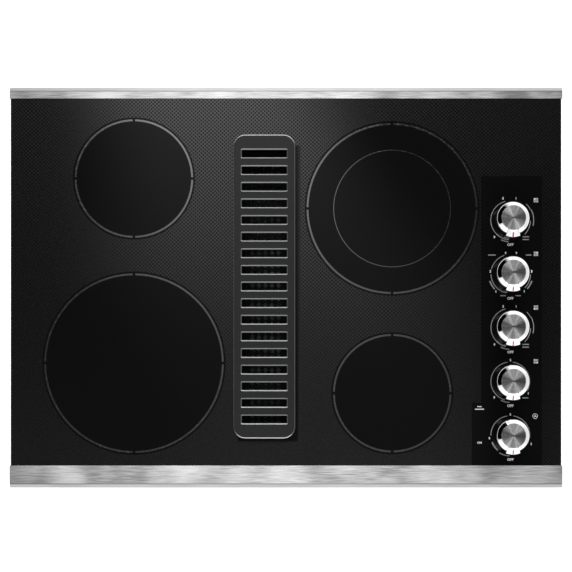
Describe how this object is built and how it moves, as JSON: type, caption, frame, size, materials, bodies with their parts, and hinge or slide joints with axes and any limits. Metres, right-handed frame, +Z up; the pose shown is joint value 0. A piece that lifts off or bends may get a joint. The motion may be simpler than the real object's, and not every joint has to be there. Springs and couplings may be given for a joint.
{
  "type": "downdraft cooktop",
  "caption": "Drop-in electric cooktop with a black glass top, radiant heating zones, a lift-out vent grille over a blower, steel edge trims and push-to-turn knobs.",
  "frame": {"origin": "middle of the cooktop's plan, at the underside of the foam seal, which is the worktop's top face", "axes": "+X to the right seen from the front, +Y to the back, +Z up"},
  "size_m": [0.7826, 0.567, 0.4355],
  "materials": {
    "black_glass": "gloss black glass ceramic with printed dots",
    "trim_steel": "brushed along the length",
    "galvanised_steel": "galvanised sheet",
    "zinc_steel": "zinc plated",
    "spring_steel": "plain spring steel",
    "grille_grey": "dark grey satin cast",
    "filter_aluminium": "bare aluminium",
    "bright_chrome": "polished plate",
    "spun_steel": "spun in circles",
    "motor_black": "black paint",
    "foam_black": "closed-cell foam",
    "seal_grey": "silicone",
    "fibre_white": "pressed mineral fibre",
    "switch_plastic": "moulded heat-proof plastic",
    "cam_plastic": "moulded plastic",
    "lamp_red": "red lens",
    "terminal_black": "moulded plastic"
  },
  "bodies": {
    "cooktop": {"blower_motor": "motor_black", "box_floor": "galvanised_steel", "box_walls": "galvanised_steel", "clamp_brackets": "galvanised_steel", "conduit_gland": "zinc_steel", "control_bracket": "galvanised_steel", "counter_seal": "foam_black", "element_insulation": "fibre_white", "element_rails": "galvanised_steel", "element_springs": "spring_steel", "fan_switch": "switch_plastic", "front_trim": "trim_steel", "glass_panel": "black_glass", "heating_ribbons": "spring_steel", "indicator_lamps": "lamp_red", "motor_plate": "galvanised_steel", "outlet_transition": "galvanised_steel", "pan_front_left": "galvanised_steel", "pan_front_right": "galvanised_steel", "pan_rear_left": "galvanised_steel", "pan_rear_right": "galvanised_steel", "plenum": "galvanised_steel", "rear_trim": "trim_steel", "scroll_housing": "galvanised_steel", "shaft_seals": "seal_grey", "sheet_screws": "zinc_steel", "switch_springs": "spring_steel", "temperature_limiters": "switch_plastic", "terminal_block": "terminal_black", "vent_seal": "seal_grey", "vent_throat": "galvanised_steel", "zone_switches": "switch_plastic"},
    "vent_grille": {"vent_grille": "grille_grey"},
    "grease_filter": {"filter_frame": "filter_aluminium", "filter_mesh": "filter_aluminium"},
    "blower_wheel": {"blower_wheel": "filter_aluminium", "motor_shaft": "zinc_steel"},
    "damper": {"damper_flap": "galvanised_steel", "damper_spindle": "zinc_steel"},
    "clamp_screw_left": {"clamp_screw_left": "zinc_steel"},
    "clamp_screw_right": {"clamp_screw_right": "zinc_steel"},
    "fan_knob": {"fan_knob": "bright_chrome", "fan_cap": "spun_steel", "fan_shaft": "zinc_steel"},
    "switch_cam_1": {"cam_1": "cam_plastic"},
    "knob_1": {"knob_1": "bright_chrome", "cap_1": "spun_steel", "shaft_1": "zinc_steel"},
    "switch_cam_2": {"cam_2": "cam_plastic"},
    "knob_2": {"knob_2": "bright_chrome", "cap_2": "spun_steel", "shaft_2": "zinc_steel"},
    "switch_cam_3": {"cam_3": "cam_plastic"},
    "knob_3": {"knob_3": "bright_chrome", "cap_3": "spun_steel", "shaft_3": "zinc_steel"},
    "switch_cam_4": {"cam_4": "cam_plastic"},
    "knob_4": {"knob_4": "bright_chrome", "cap_4": "spun_steel", "shaft_4": "zinc_steel"}
  },
  "joints": [
    {"name": "knob_1_turn", "type": "hinge", "parent": "cooktop", "child": "switch_cam_1", "pos_m": [0.3176, 0.0954, -0.0377], "axis": [0, 0, -1], "range_deg": [0, 320]},
    {"name": "knob_1_push", "type": "slide", "parent": "switch_cam_1", "child": "knob_1", "axis": [0, 0, -1], "range_m": [0, 0.0025], "stiffness_N_per_m": 800, "springref_m": -0.004, "deforming": ["switch_springs"]},
    {"name": "knob_2_turn", "type": "hinge", "parent": "cooktop", "child": "switch_cam_2", "pos_m": [0.3176, 0.0193, -0.0377], "axis": [0, 0, -1], "range_deg": [-150, 150]},
    {"name": "knob_2_push", "type": "slide", "parent": "switch_cam_2", "child": "knob_2", "axis": [0, 0, -1], "range_m": [0, 0.0025], "stiffness_N_per_m": 800, "springref_m": -0.004, "deforming": ["switch_springs"]},
    {"name": "knob_3_turn", "type": "hinge", "parent": "cooktop", "child": "switch_cam_3", "pos_m": [0.3176, -0.0568, -0.0377], "axis": [0, 0, -1], "range_deg": [0, 320]},
    {"name": "knob_3_push", "type": "slide", "parent": "switch_cam_3", "child": "knob_3", "axis": [0, 0, -1], "range_m": [0, 0.0025], "stiffness_N_per_m": 800, "springref_m": -0.004, "deforming": ["switch_springs"]},
    {"name": "knob_4_turn", "type": "hinge", "parent": "cooktop", "child": "switch_cam_4", "pos_m": [0.3176, -0.1329, -0.0377], "axis": [0, 0, -1], "range_deg": [0, 320]},
    {"name": "knob_4_push", "type": "slide", "parent": "switch_cam_4", "child": "knob_4", "axis": [0, 0, -1], "range_m": [0, 0.0025], "stiffness_N_per_m": 800, "springref_m": -0.004, "deforming": ["switch_springs"]},
    {"name": "fan_knob_turn", "type": "hinge", "parent": "cooktop", "child": "fan_knob", "pos_m": [0.3176, -0.209, -0.0377], "axis": [0, 0, -1], "range_deg": [0, 270]},
    {"name": "grille_lift", "type": "slide", "parent": "cooktop", "child": "vent_grille", "axis": [0, 0, 1], "range_m": [0, 0.16]},
    {"name": "filter_lift", "type": "slide", "parent": "cooktop", "child": "grease_filter", "axis": [0, 0, 1], "range_m": [0, 0.112]},
    {"name": "blower_spin", "type": "hinge", "parent": "cooktop", "child": "blower_wheel", "pos_m": [0.0294, 0.0008, -0.2], "axis": [1, 0, 0], "continuous": true},
    {"name": "damper_swing", "type": "hinge", "parent": "cooktop", "child": "damper", "pos_m": [0.0654, 0.0618, -0.3735], "axis": [0, 1, 0], "range_deg": [0, 80], "stiffness_Nm_per_rad": 0.02},
    {"name": "left_clamp", "type": "slide", "parent": "cooktop", "child": "clamp_screw_left", "axis": [0, 0, 1], "range_m": [-0.012, 0.018]},
    {"name": "right_clamp", "type": "slide", "parent": "cooktop", "child": "clamp_screw_right", "axis": [0, 0, 1], "range_m": [-0.012, 0.018]}
  ],
  "couplings": [
    {"joint": "filter_lift", "follows": "grille_lift", "ratio": 0.7}
  ]
}
